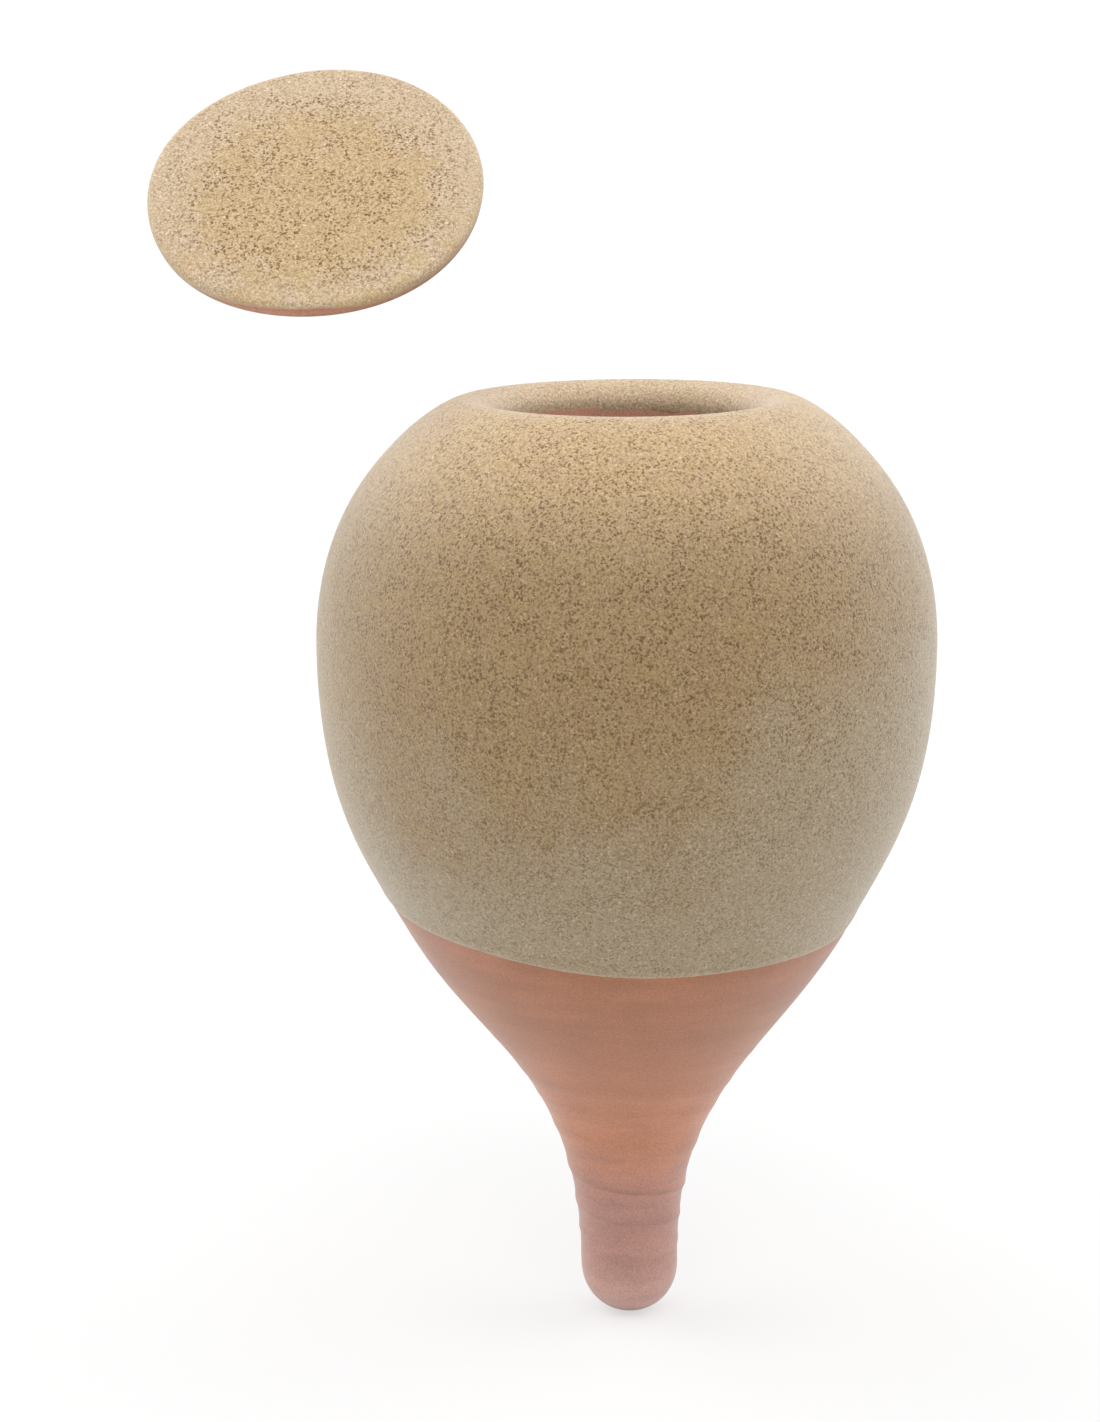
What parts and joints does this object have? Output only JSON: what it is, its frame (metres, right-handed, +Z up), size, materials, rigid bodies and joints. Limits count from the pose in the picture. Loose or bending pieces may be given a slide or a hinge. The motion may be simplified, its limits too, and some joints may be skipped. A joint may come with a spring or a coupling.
{
  "type": "garden olla",
  "caption": "Thrown clay watering vessel: glazed round bulb with an inturned rim, bare ringed root that is pushed into soil, and a loose round lid.",
  "frame": {"origin": "on the vessel's axis at the soil line, the height of the glaze's lowest place, which the soil comes up to", "axes": "+Z up along the vessel's axis, through the middle of the mouth; -Y is the front, and the lid is held off to -X"},
  "size_m": [0.1906, 0.15, 0.3052],
  "materials": {
    "bare_terracotta": "bare fired clay, matte, pinkish orange",
    "speckled_glaze": "matte tan glaze with fine brown speckles"
  },
  "bodies": {
    "vessel": {"vessel_body": "bare_terracotta", "vessel_glaze": "speckled_glaze"},
    "lid": {"lid_body": "bare_terracotta", "lid_glaze": "speckled_glaze"}
  },
  "joints": [
    {"name": "lid_swing", "type": "hinge", "parent": "vessel", "child": "lid", "pos_m": [-0.0585, -0.0363, 0.1423], "axis": [0.408, -0.3497, 0.8434], "range_deg": [-80.6, 0]}
  ]
}
